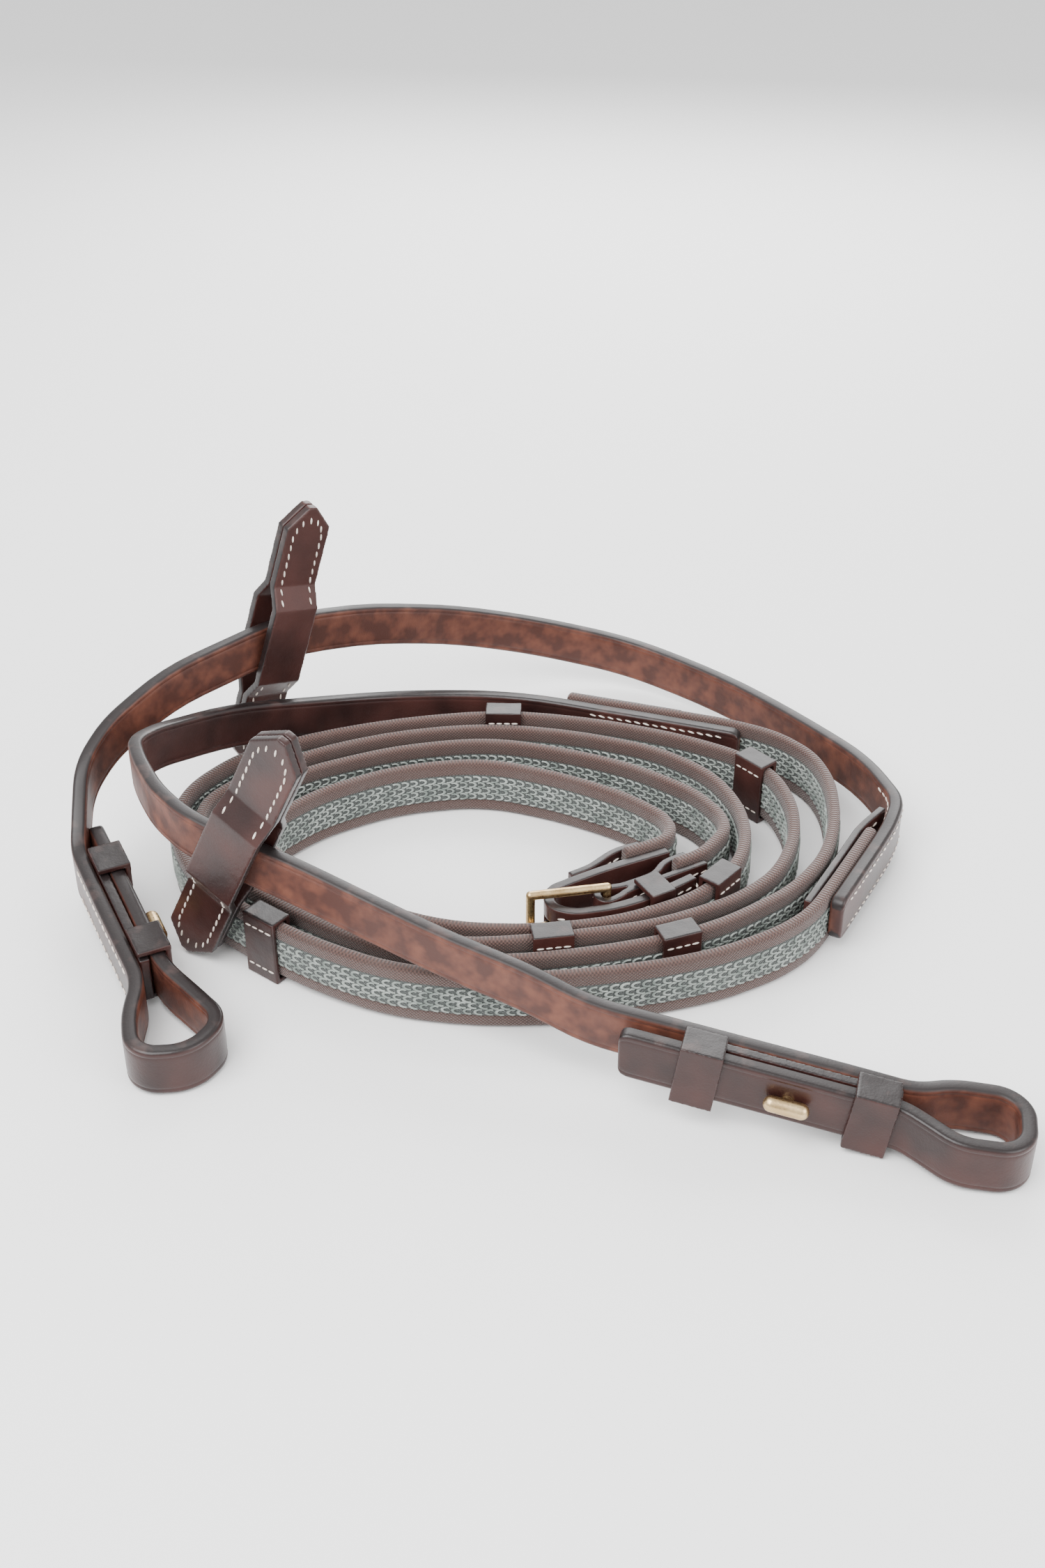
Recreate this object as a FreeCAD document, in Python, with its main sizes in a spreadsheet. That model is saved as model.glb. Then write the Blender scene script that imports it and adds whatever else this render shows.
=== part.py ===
"""A pair of leather reins with web grips, buckled together and coiled on a flat surface.

Rein A ends in the billet loop at the front right and rein B in the one at the front left. Each rein is a
leather line, a woven web hand part with leather hand stops, and a leather centre end. The centre ends meet
in a brass buckle. A stitched martingale stop slides on each leather line. Every strap stands on its edge.
Millimetres, +Z up, origin on the surface under the middle of the footprint.
"""
import FreeCAD, Part
import Sketcher
import math
import os
from FreeCAD import Placement, Rotation, Vector

UP = Vector(0, 0, 1)
RUN_SHARE = 0.45  # part of the shorter run that a corner's arc takes

doc = FreeCAD.newDocument("LeatherReins")
sheet = doc.addObject("Spreadsheet::Sheet", "Sizes")

SIZES = [
    ("leather_width", 16.0),
    ("leather_thick", 4.8),
    ("web_width", 20.0),
    ("web_thick", 4.0),
    ("billet_thick", 3.5),
    ("ply_thick", 2.5),
    ("stud_chape_thick", 3.2),
    ("layer_gap", 0.25),
    ("keeper_wall", 1.8),
    ("keeper_length", 12.5),
    ("keeper_clear", 0.4),
    ("centre_keeper_length", 9.0),
    ("centre_keeper_depth", 9.7),
    ("hand_stop_wall", 1.5),
    ("hand_stop_length", 13.0),
    ("hand_stop_clear", 0.25),
    ("hand_stop_gap", 0.5),
    ("stop_length", 106.0),
    ("stop_width", 18.0),
    ("stop_layer", 3.0),
    ("stop_seam", 0.1),
    ("stop_slot_half", 4.6),
    ("stop_slot_flat", 30.0),
    ("stop_slot_open", 45.0),
    ("stop_tip_rise", 8.0),
    ("stud_post_radius", 2.0),
    ("stud_post_reach", 11.3),
    ("stud_bar_radius", 2.4),
    ("stud_bar_length", 8.5),
    ("stud_head_radius", 3.6),
    ("stud_head_thick", 0.8),
    ("buckle_wire_radius", 1.5),
    ("buckle_length", 24.9),
    ("buckle_height", 21.0),
    ("heel_bar_radius", 1.4),
    ("prong_radius", 1.3),
    ("prong_eye_clear", 0.06),
    ("prong_eye_wire", 1.1),
]
for row, (alias, number) in enumerate(SIZES, start=1):
    sheet.set("A%d" % row, alias)
    sheet.set("B%d" % row, str(number))
    sheet.setAlias("B%d" % row, alias)
doc.recompute()


def size(alias):
    """A driving dimension, in millimetres."""
    return float(sheet.get(alias))


# --- Routes -----------------------------------------------------------------------------------------------
# Each route is the middle line of a strap as (x, y, z). Straight runs are joined by tangent arcs.

BILLET_OFFSET = size("leather_thick") + size("stud_chape_thick") + 3 * size("layer_gap")


class BilletFrame:
    """The straight part of a rein by its hook stud: along runs towards the loop, out towards the flesh side."""

    def __init__(self, stud, along, out, rise, floor_along, loop_height):
        self.stud = Vector(*stud)
        self.along = Vector(*along).normalize()
        self.out = Vector(*out).normalize()
        self.rise = rise
        self.floor_along = floor_along
        self.loop_height = loop_height

    def height(self, along):
        """Height of the strap's middle: a steady slope, nearly level round the loop."""
        if along < self.floor_along:
            return self.stud.z - self.rise * along
        return self.loop_height - 0.05 * (along - self.floor_along)

    def point(self, along, out):
        place = self.stud + self.along * along + self.out * out
        return (place.x, place.y, self.height(along))

    def placement(self, along, out):
        """Local X along the strap and down its slope, Y outwards, Z across the strap."""
        place = Vector(*self.point(along, out))
        run = Vector(self.along.x, self.along.y, -self.rise).normalize()
        return Placement(place, axes_rotation(run, self.out))


def axes_rotation(run, out):
    """Rotation that takes X to run and Y to out."""
    across = run.cross(out)
    matrix = FreeCAD.Matrix(run.x, out.x, across.x, 0, run.y, out.y, across.y, 0,
                            run.z, out.z, across.z, 0, 0, 0, 0, 1)
    return Rotation(matrix)


BILLET_A = BilletFrame((82.3, -124.1, 14.5), (0.970, -0.244, 0), (-0.244, -0.970, 0), 0.13, 36, 9.8)
BILLET_B = BilletFrame((-124.0, -61.0, 13.4), (0.450, -0.893, 0), (0.893, 0.450, 0), 0.11, 30, 10.1)

LOOP_A = [(32, 0.0), (39, 3.6), (48, 9.1), (67, 7.2), (65.5, -15.2), (45, -13.4), (35, -8.55)]
LOOP_B = [(24, 0.0), (40, 5.1), (54, 9.1), (62.5, -3.9), (56.5, -19.5), (41, -16.0), (28, -8.55)]

LINE_A = [
    (7, -101, 27), (-18, -90, 31), (-41, -79, 36), (-58, -71.3, 40.5), (-76, -64.2, 45),
    (-97, -54.8, 49.4), (-109, -41, 50.3), (-117.5, -23, 49.5), (-122, -8, 47), (-117, 4, 44), (-98, 36, 32),
    (-70, 61.5, 19.5), (-38, 77.5, 12.5), (2, 78, 11.9), (44, 64.5, 11.9), (84, 51, 11.9),
]
LINE_B = [
    (-140.5, -20, 25), (-141.5, -4, 35), (-135, 10, 42), (-118, 32, 49), (-81.5, 65.5, 51.5),
    (-53, 84, 46), (-20, 107, 33), (13, 118.5, 21), (46, 117, 13.5), (82, 93, 10.6),
    (108, 63, 10.4), (127.5, 35, 11), (134.4, 8, 12.2), (129.4, -6, 12.2), (120.4, -23, 12.2),
    (105, -50.4, 12.2),
]

WEB_A = [
    (22, 76.6, 10.4), (46, 69.0, 10.4), (82, 57.3, 10.4), (97, 49.5, 10.4), (108.5, 36, 10.4),
    (112.5, 20, 10.4), (111.5, -2, 10.4), (105, -25, 10.4), (92, -43, 10.4), (70, -60.5, 11.5),
    (53, -69, 12), (30, -75, 11.5), (2, -78.5, 10.4), (-26, -77, 10.4), (-52, -65.5, 10.4),
    (-78, -46, 10.4), (-96, -27, 10.4), (-104.5, -9, 10.4), (-104, 7, 10.4), (-93, 21, 10.4),
    (-70, 38, 10.4), (-40, 50, 10.4), (-8, 55, 10.4), (24, 50, 10.4), (53, 39.5, 10.4),
    (71, 24, 10.4), (79, 6, 10.4), (80, -14, 11.5), (75.5, -31, 12), (62, -47, 11.5),
    (36, -59, 10.4), (8, -63.5, 10.4), (-20, -61.5, 10.4), (-46, -50, 10.4), (-68, -33, 10.4),
    (-82, -16, 10.4), (-80, -3, 10.4), (-66, 12, 10.4), (-40, 27, 10.4), (-8, 32, 10.4),
    (20, 22, 10.4), (42, 9, 10.4), (53, -3, 11), (54.8, -11.5, 12), (52.8, -17.3, 12.3),
    (47.4, -20.8, 12.3), (38.3, -25.15, 12.3),
]
WEB_B = [
    (122.5, -9.5, 10.4), (116.1, -20.9, 10.4), (106.5, -37.9, 10.4), (97, -54, 10.4), (86, -64, 10.4),
    (68, -74, 10.4), (44, -81.5, 10.4), (16, -86, 10.4), (-12, -86.5, 10.4), (-38.5, -81.5, 10.8),
    (-61, -71, 12), (-79, -58, 12), (-97, -41.5, 11), (-108, -23, 10.4), (-113.5, -2, 10.4),
    (-110, 16, 10.4), (-96, 35, 10.4), (-68, 50, 10.4), (-34, 59, 11), (0, 61.5, 12),
    (32, 56.5, 11.5), (62, 46, 11.5), (82, 34, 12), (93, 21, 12), (97.5, 3, 11.5),
    (96, -15, 10.4), (88, -34, 10.4), (74, -47.5, 10.4), (48, -61.5, 11), (12, -69.8, 12),
    (-14, -71.5, 11.5), (-40, -65.5, 10.4), (-66, -48, 10.4), (-86, -27, 10.4), (-94.5, -8, 10.4),
    (-91, 9, 10.4), (-72, 26, 10.4), (-40, 40, 10.4), (-8, 45.5, 10.4), (20, 38.5, 10.4),
    (44, 28.5, 10.4), (65, 12, 10.4), (72.5, -2, 11), (73, -12, 12), (64.6, -25.2, 12.3),
    (54.6, -30.95, 12.3),
]
HAND_STOPS_A = [(53, -69), (68.7, -39.1)]
HAND_STOPS_B = [(-75, -61), (-2, 61.4), (86.8, 28.3), (14, -69.4)]

BUCKLE_HEEL = Vector(32, -46.5, 12.3)
BUCKLE_RUN = Vector(-0.983, -0.181, 0).normalize()
CHAPE_RUN = Vector(0.866, 0.5, 0)
CHAPE_NEAR = Vector(0.5, -0.866, 0)
CENTRE_BILLET = [
    (53, -22.4, 12.3), (33, -32, 12.3), (22, -38.5, 12.3), (13.5, -44, 12.3), (13.5, -52.5, 12.3),
    (21, -55.8, 12.3), (34, -53, 12.3), (43.6, -48.6, 12.3), (53, -42.3, 12.3), (60.5, -36.7, 12.3),
]
CENTRE_CHAPE = [
    (37.5, 1.35), (24, 1.25), (7, 1.5), (2.5, 2.95), (-3.0, 2.95), (-3.0, -2.95), (2.5, -2.95), (7, -1.5),
    (19.5, -1.45), (25.5, -5.6), (34, -5.65),
]
CENTRE_BACKING_A = [(43.8, -18.7, 12.3), (34.8, -23.0, 12.3), (27.3, -31.6, 12.3), (20.4, -35.8, 12.3)]
SPLICE_BACKING_A = [(23, 79.9, 10.4), (46, 72.6, 10.4), (64, 66.8, 10.4)]
SPLICE_BACKING_B = [(128.3, 3.6, 11.2), (118.6, -7.9, 11.2), (112.7, -19.0, 11.2), (95.8, -49.1, 11.2)]


def chape_point(along, near):
    place = BUCKLE_HEEL + CHAPE_RUN * along + CHAPE_NEAR * near
    return (place.x, place.y, place.z)


def billet_route(frame, loop, tail):
    """From the billet's tip past the stud, round the bit loop and back past the stud."""
    points = [frame.point(tail, BILLET_OFFSET), frame.point(-8, BILLET_OFFSET + 0.1)]
    points += [frame.point(along, BILLET_OFFSET + out) for along, out in loop]
    points += [frame.point(0, -0.1), frame.point(-36, 0)]
    return points


ROUTE_A = billet_route(BILLET_A, LOOP_A, -49) + [BILLET_A.point(-60, 0.3)] + LINE_A
ROUTE_B = billet_route(BILLET_B, LOOP_B, -46) + LINE_B


# --- Strap geometry ---------------------------------------------------------------------------------------

def tangent_path(points):
    """Wire of straight runs with an arc at each corner, and the arcs' radii."""
    corners = [Vector(*point) for point in points]
    edges = []
    radii = []
    start = corners[0]
    for before, corner, after in zip(corners, corners[1:], corners[2:]):
        back = (before - corner).normalize()
        ahead = (after - corner).normalize()
        reach = RUN_SHARE * min(before.distanceToPoint(corner), after.distanceToPoint(corner))
        half_turn = (math.pi - back.getAngle(ahead)) / 2
        radius = reach / math.tan(half_turn)
        middle = corner + (back + ahead).normalize() * (radius / math.cos(half_turn) - radius)
        arc_start = corner + back * reach
        arc_end = corner + ahead * reach
        edges.append(Part.makeLine(start, arc_start))
        edges.append(Part.Arc(arc_start, middle, arc_end).toShape())
        radii.append(radius)
        start = arc_end
    edges.append(Part.makeLine(start, corners[-1]))
    return Part.Wire(edges), radii


def place_on(wire, distance):
    """Point and level direction at a distance along a wire."""
    for edge in wire.Edges:
        if distance <= edge.Length:
            parameter = edge.getParameterByLength(distance)
            return edge.valueAt(parameter), edge.tangentAt(parameter)
        distance -= edge.Length
    last = wire.Edges[-1]
    return last.valueAt(last.LastParameter), last.tangentAt(last.LastParameter)


def nearest_distance(wire, place, step=1.0):
    """Distance along a wire of its point nearest to a plan position."""
    target = Vector(place[0], place[1], 0)
    best = None
    for number in range(int(wire.Length / step)):
        point, _ = place_on(wire, number * step)
        gap = Vector(point.x, point.y, 0).distanceToPoint(target)
        if best is None or gap < best[0]:
            best = (gap, number * step)
    return best[1]


def band(points, thickness, width):
    """Solid of an upright strap along a route, and its wire and smallest arc radius."""
    wire, radii = tangent_path(points)
    start, tangent = place_on(wire, 0)
    side = UP.cross(tangent).normalize() * (thickness / 2)
    half = UP * (width / 2)
    corners = [start + side + half, start - side + half, start - side - half, start + side - half]
    profile = Part.makePolygon(corners + corners[:1])
    pipe = Part.BRepOffsetAPI.MakePipeShell(wire)
    pipe.setBiNormalMode(UP)
    pipe.add(profile)
    pipe.build()
    pipe.makeSolid()
    return pipe.shape(), wire, min(radii)


lengths = {}


def strap(label, points, thickness, width, cutters=()):
    """One strap as a Part::Feature; cutters are shapes that are taken away from it."""
    solid, wire, tightest = band(points, thickness, width)
    share = solid.Volume / (wire.Length * thickness * width)
    print("%-22s length %7.1f  tightest arc %5.1f  volume share %.3f" % (label, wire.Length, tightest, share))
    for cutter in cutters:
        solid = solid.cut(cutter)
    feature = doc.addObject("Part::Feature", label)
    feature.Label = label
    feature.Shape = solid
    lengths[label] = wire.Length
    return wire


# --- Sketched bodies --------------------------------------------------------------------------------------

def linear(terms):
    """Number and expression of a sum such as {"stop_length": 0.5}."""
    number = sum(factor * size(alias) for alias, factor in terms.items())
    expression = " + ".join("(%g) * Sizes.%s" % (factor, alias) for alias, factor in terms.items())
    return number, expression


def new_body(label):
    body = doc.addObject("PartDesign::Body", label)
    body.Label = label
    return body


def body_plane(body, role):
    return [feature for feature in body.Origin.OriginFeatures if feature.Role == role][0]


def polygon_sketch(body, name, role, outlines):
    """Sketch of closed polygons; every corner is a pair of linear sums of the sheet's sizes."""
    sketch = body.newObject("Sketcher::SketchObject", name)
    sketch.AttachmentSupport = [(body_plane(body, role), "")]
    sketch.MapMode = "FlatFace"
    for outline in outlines:
        first = sketch.GeometryCount
        spots = [Vector(linear(x)[0], linear(y)[0], 0) for x, y in outline]
        count = len(spots)
        for number, spot in enumerate(spots):
            sketch.addGeometry(Part.LineSegment(spot, spots[(number + 1) % count]), False)
        for number in range(count):
            following = first + (number + 1) % count
            sketch.addConstraint(Sketcher.Constraint("Coincident", first + number, 2, following, 1))
        for number, (x, y) in enumerate(outline):
            for kind, terms in (("DistanceX", x), ("DistanceY", y)):
                value, expression = linear(terms)
                constraint = Sketcher.Constraint(kind, -1, 1, first + number, 1, value)
                index = sketch.addConstraint(constraint)
                sketch.setExpression("Constraints[%d]" % index, expression)
    return sketch


def pad(body, sketch, alias):
    """Pad to both sides of a sketch, its whole length from the sheet."""
    feature = body.newObject("PartDesign::Pad", body.Label + "_pad")
    feature.Profile = sketch
    feature.SideType = "Symmetric"
    feature.setExpression("Length", "Sizes." + alias)
    sketch.Visibility = False
    return feature


def rectangle(half_x, half_y):
    """Corners of a centred rectangle from the linear sums of its half sides."""
    minus_x = {alias: -factor for alias, factor in half_x.items()}
    minus_y = {alias: -factor for alias, factor in half_y.items()}
    return [(minus_x, minus_y), (half_x, minus_y), (half_x, half_y), (minus_x, half_y)]


def strap_loop(label, inner_y, inner_z, wall, length, placement):
    """Leather loop round a strap: X along the strap, Y through its thickness, Z across its width."""
    body = new_body(label)
    outer_y = dict(inner_y)
    outer_y[wall] = 1
    outer_z = dict(inner_z)
    outer_z[wall] = 1
    outlines = [rectangle(outer_y, outer_z), rectangle(inner_y, inner_z)]
    sketch = polygon_sketch(body, label + "_section", "YZ_Plane", outlines)
    pad(body, sketch, length)
    body.Placement = placement
    return body


def keeper(label, root, inside, length, placement):
    """Keeper sewn in between two layers: legs from the root layer over both edges and a bridge beyond."""
    body = new_body(label)
    high = {"leather_width": 0.5, "keeper_clear": 1}
    low = {alias: -factor for alias, factor in high.items()}
    top = dict(high, keeper_wall=1)
    bottom = {alias: -factor for alias, factor in top.items()}
    outside = dict(inside, keeper_wall=1)
    outline = [(root, high), (inside, high), (inside, low), (root, low),
               (root, bottom), (outside, bottom), (outside, top), (root, top)]
    sketch = polygon_sketch(body, label + "_section", "YZ_Plane", [outline])
    pad(body, sketch, length)
    body.Placement = placement
    return body


def stop_layer(label, placement):
    """One leather layer of a martingale stop: flat stitched ends and a bulge where the rein goes through."""
    body = new_body(label)
    seam = {"stop_seam": 1}
    bulge = {"stop_slot_half": 1}
    seam_out = {"stop_seam": 1, "stop_layer": 1}
    bulge_out = {"stop_slot_half": 1, "stop_layer": 1}
    stations = [("stop_length", seam, seam_out), ("stop_slot_open", seam, seam_out),
                ("stop_slot_flat", bulge, bulge_out)]
    inner = [(near, {alias: -0.5}) for alias, near, _ in stations]
    inner += [(near, {alias: 0.5}) for alias, near, _ in reversed(stations)]
    outer = [(far, {alias: 0.5}) for alias, _, far in stations]
    outer += [(far, {alias: -0.5}) for alias, _, far in reversed(stations)]
    profile = polygon_sketch(body, label + "_profile", "YZ_Plane", [inner + outer])
    pad(body, profile, "stop_width")
    doc.recompute()
    whole = body.Shape.Volume
    corners = []
    for side in (-1, 1):
        for end in (-1, 1):
            tip = {"stop_length": 0.5 * end}
            shoulder = {"stop_length": 0.5 * end, "stop_tip_rise": -1.0 * end}
            beyond = {"stop_length": 0.5 * end, "stop_layer": 1.0 * end}
            edge = {"stop_width": 0.5 * side, "stop_seam": 1.0 * side}
            centre = {"stop_width": 0.08 * side}
            corners.append([(centre, tip), (edge, shoulder), (edge, beyond), (centre, beyond)])
    outline = polygon_sketch(body, label + "_tips", "XZ_Plane", corners)
    cut = body.newObject("PartDesign::Pocket", label + "_pocket")
    cut.Profile = outline
    cut.Type = "ThroughAll"
    cut.SideType = "Symmetric"
    outline.Visibility = False
    doc.recompute()
    removed = whole - body.Shape.Volume
    expected = 2 * size("stop_layer") * size("stop_tip_rise") * size("stop_width") * 0.42
    print("%-22s tips take %.0f of about %.0f mm3" % (label, removed, expected))
    body.Placement = placement
    return body


# --- Metal parts ------------------------------------------------------------------------------------------

def primitive(kind, label, expressions, placement=Placement()):
    """A Part primitive whose sizes are expressions of the sheet."""
    item = doc.addObject("Part::" + kind, label)
    for name, expression in expressions.items():
        item.setExpression(name, expression)
    item.Placement = placement
    return item


def fused(label, pieces, placement):
    group = doc.addObject("Part::MultiFuse", label)
    group.Label = label
    group.Shapes = pieces
    group.Placement = placement
    return group


def hook_stud(label, placement):
    """Riveted brass stud: flat head, post outwards through the slit and a rounded bar along the strap."""
    outwards = Rotation(Vector(1, 0, 0), -90)
    sideways = Rotation(Vector(0, 1, 0), 90)
    bar_y = size("stud_post_reach")
    bar_half = size("stud_bar_length") / 2
    pieces = [
        primitive("Cylinder", label + "_head", {"Radius": "Sizes.stud_head_radius",
                  "Height": "Sizes.stud_head_thick"}, Placement(Vector(), outwards)),
        primitive("Cylinder", label + "_post", {"Radius": "Sizes.stud_post_radius",
                  "Height": "Sizes.stud_post_reach"}, Placement(Vector(), outwards)),
        primitive("Cylinder", label + "_bar", {"Radius": "Sizes.stud_bar_radius",
                  "Height": "Sizes.stud_bar_length"}, Placement(Vector(-bar_half, bar_y, 0), sideways)),
    ]
    for end, name in ((-1, "_toe"), (1, "_heel")):
        pieces.append(primitive("Sphere", label + name, {"Radius": "Sizes.stud_bar_radius"},
                                Placement(Vector(end * bar_half, bar_y, 0), Rotation())))
    return fused(label, pieces, placement)


def buckle_frame(label, placement):
    """Wire frame: X from the heel bar to the end bar, Z up, corners closed by spheres."""
    length = size("buckle_length")
    half = size("buckle_height") / 2
    sideways = Rotation(Vector(0, 1, 0), 90)
    wire = {"Radius": "Sizes.buckle_wire_radius"}
    along = dict(wire, Height="Sizes.buckle_length")
    upright = dict(wire, Height="Sizes.buckle_height")
    heel = {"Radius": "Sizes.heel_bar_radius", "Height": "Sizes.buckle_height"}
    pieces = [
        primitive("Cylinder", label + "_top", along, Placement(Vector(0, 0, half), sideways)),
        primitive("Cylinder", label + "_bottom", along, Placement(Vector(0, 0, -half), sideways)),
        primitive("Cylinder", label + "_end", upright, Placement(Vector(length, 0, -half), Rotation())),
        primitive("Cylinder", label + "_heel", heel, Placement(Vector(0, 0, -half), Rotation())),
    ]
    for x in (0, length):
        for z in (-half, half):
            name = "%s_corner_%d" % (label, len(pieces) - 3)
            pieces.append(primitive("Sphere", name, wire, Placement(Vector(x, 0, z), Rotation())))
    return fused(label, pieces, placement)


def buckle_prong(label, placement):
    """Prong: an eye round the heel bar and a rod that comes to rest on the near side of the end bar."""
    eye_bore = size("heel_bar_radius") + size("prong_eye_clear")
    reach = size("buckle_length") + 2.0
    rest = size("buckle_wire_radius") + size("prong_radius") + 0.12
    outer = {"Radius": "Sizes.heel_bar_radius + Sizes.prong_eye_clear + Sizes.prong_eye_wire",
             "Height": "2 * Sizes.prong_radius"}
    inner = {"Radius": "Sizes.heel_bar_radius + Sizes.prong_eye_clear", "Height": "4 * Sizes.prong_radius"}
    eye = doc.addObject("Part::Cut", label + "_eye")
    eye.Base = primitive("Cylinder", label + "_eye_wire", outer,
                         Placement(Vector(0, 0, -size("prong_radius")), Rotation()))
    eye.Tool = primitive("Cylinder", label + "_eye_bore", inner,
                         Placement(Vector(0, 0, -2 * size("prong_radius")), Rotation()))
    start = Vector(eye_bore + 0.7, 0.5, 0)
    run = Vector(reach, rest, 0) - start
    rod = primitive("Cone", label + "_rod", {"Radius1": "Sizes.prong_radius",
                    "Radius2": "0.75 * Sizes.prong_radius"}, Placement(start, Rotation(UP, run)))
    rod.Height = run.Length
    return fused(label, [eye, rod], placement)


# --- The reins --------------------------------------------------------------------------------------------

leather_width = size("leather_width")
leather_thick = size("leather_thick")
ply_thick = size("ply_thick")


def slit(frame):
    """Cutter for the slit in a billet that the hook stud comes through."""
    box = Part.makeBox(9.0, 8.0, 4.8, Vector(-4.5, BILLET_OFFSET - 4.0, -2.4))
    box.Placement = frame.placement(0, 0)
    return box


def build_billet(name, frame, bit_keeper, tip_keeper):
    """Stud chape, hook stud and the two keepers of a billet end."""
    chape_offset = (leather_thick + size("stud_chape_thick")) / 2 + size("layer_gap")
    stud_seat = leather_thick / 2 + size("layer_gap")
    stud = hook_stud(name + "_hook_stud", frame.placement(0, stud_seat))
    doc.recompute()
    chape = [frame.point(bit_keeper + 8, chape_offset), frame.point(-6, chape_offset + 0.04),
             frame.point(tip_keeper - 4.5, chape_offset)]
    strap(name + "_stud_chape", chape, size("stud_chape_thick"), leather_width - 0.6, [stud.Shape])
    root = {"leather_thick": 0.5, "layer_gap": 0.4}
    inside = {"leather_thick": 1.5, "stud_chape_thick": 1, "layer_gap": 4}
    for label, along in (("_bit_keeper", bit_keeper), ("_tip_keeper", tip_keeper)):
        keeper(name + label, root, inside, "keeper_length", frame.placement(along, 0))


def build_hand_stops(name, wire, places):
    inner_y = {"web_thick": 0.5, "hand_stop_gap": 1}
    inner_z = {"web_width": 0.5, "hand_stop_clear": 1}
    for number, place in enumerate(places, start=1):
        middle, run = place_on(wire, nearest_distance(wire, place))
        run.z = 0
        run.normalize()
        placement = Placement(middle, axes_rotation(run, UP.cross(run)))
        strap_loop("%s_hand_stop_%d" % (name, number), inner_y, inner_z, "hand_stop_wall",
                   "hand_stop_length", placement)


def build_martingale_stop(name, wire, place, lift, skew, tilt, lean):
    """Two layers on a strap: skew turns the stop about Z, tilt in its own plane, lean about the strap's run."""
    centre, run = place_on(wire, nearest_distance(wire, place, 0.5))
    centre.z += lift
    print("%-22s centre %s slides along %s" % (name, centre, run))
    level = Vector(-run.x, -run.y, 0).normalize() if run.x < 0 else Vector(run.x, run.y, 0).normalize()
    upright = Rotation(UP, skew).multiply(axes_rotation(level, UP.cross(level)))
    turn = Rotation(Vector(0, 1, 0), tilt)
    back = Rotation(Vector(1, 0, 0), lean)
    rotation = upright.multiply(back).multiply(turn)
    stop_layer(name + "_far_layer", Placement(centre, rotation))
    half_turn = rotation.multiply(Rotation(UP, 180))
    stop_layer(name + "_near_layer", Placement(centre, half_turn))


leather_wire_a = strap("rein_a_leather", ROUTE_A, leather_thick, leather_width, [slit(BILLET_A)])
leather_wire_b = strap("rein_b_leather", ROUTE_B, leather_thick, leather_width, [slit(BILLET_B)])
build_billet("rein_a", BILLET_A, 23.5, -26)
build_billet("rein_b", BILLET_B, 13.6, -27)
web_wire_a = strap("rein_a_web", WEB_A, size("web_thick"), size("web_width"))
web_wire_b = strap("rein_b_web", WEB_B, size("web_thick"), size("web_width"))
build_hand_stops("rein_a", web_wire_a, HAND_STOPS_A)
build_hand_stops("rein_b", web_wire_b, HAND_STOPS_B)
strap("rein_a_splice_backing", SPLICE_BACKING_A, ply_thick, leather_width)
strap("rein_b_splice_backing", SPLICE_BACKING_B, ply_thick, leather_width)

build_martingale_stop("rein_a_stop", leather_wire_a, (-82.3, -61.3), 3.0, -7, 26.5, 0)
build_martingale_stop("rein_b_stop", leather_wire_b, (-83.4, 63.6), 1.4, 0, 14.5, 8)

prong_near = UP.cross(BUCKLE_RUN) * -1
if prong_near.dot(CHAPE_NEAR) < 0:
    prong_near = prong_near * -1
buckle_place = Placement(BUCKLE_HEEL, axes_rotation(BUCKLE_RUN, prong_near))
buckle_frame("buckle_frame", buckle_place)
buckle_prong("buckle_prong", buckle_place)

eye_slot = Part.makeBox(9, 14, 3.6, Vector(-6.5, -7, -1.8))
eye_slot.Placement = Placement(BUCKLE_HEEL, axes_rotation(CHAPE_RUN, CHAPE_NEAR))
prong_hole = Part.makeBox(9, 7.0, 4.4, Vector(13.5, -2.6, -2.2))
prong_hole.Placement = buckle_place
chape_points = [chape_point(along, near) for along, near in CENTRE_CHAPE]
strap("rein_b_centre_chape", chape_points, ply_thick, leather_width, [eye_slot])
strap("rein_a_centre_billet", CENTRE_BILLET, size("billet_thick"), leather_width, [prong_hole])
strap("rein_a_centre_backing", CENTRE_BACKING_A, ply_thick, leather_width)
keeper_turn = axes_rotation(CHAPE_RUN, CHAPE_NEAR)
keeper("rein_b_centre_keeper", {"layer_gap": 0.2}, {"centre_keeper_depth": 1}, "centre_keeper_length",
       Placement(Vector(*chape_point(14.5, -0.1)), keeper_turn))

doc.recompute()

# Everything above is laid out round the coil; the origin goes under the middle of the whole footprint.
PIECES = ["Part::Feature", "PartDesign::Body", "Part::MultiFuse"]
pieces = [item for item in doc.Objects if item.TypeId in PIECES]
CENTRE_SHIFT = Vector(-2.5, 18.5, 0)
for item in pieces:
    item.Placement = Placement(CENTRE_SHIFT, Rotation()).multiply(item.Placement)
doc.recompute()

# --- Checks and export ------------------------------------------------------------------------------------

for item in doc.Objects:
    if "Invalid" in item.State or "Error" in item.State:
        raise RuntimeError("%s is %s" % (item.Label, item.State))
for item in pieces:
    if item.Shape.isNull() or not item.Shape.isValid():
        raise RuntimeError("%s has a bad shape" % item.Label)

os.makedirs("parts", exist_ok=True)
bounds = FreeCAD.BoundBox()
for item in pieces:
    bounds.add(item.Shape.BoundBox)
    item.Shape.exportStep("parts/%s.step" % item.Label)
print("%d pieces, x %.1f..%.1f, y %.1f..%.1f, z %.2f..%.1f" % (
    len(pieces), bounds.XMin, bounds.XMax, bounds.YMin, bounds.YMax, bounds.ZMin, bounds.ZMax))
print("buckle heel", BUCKLE_HEEL, "run", BUCKLE_RUN)
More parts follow.
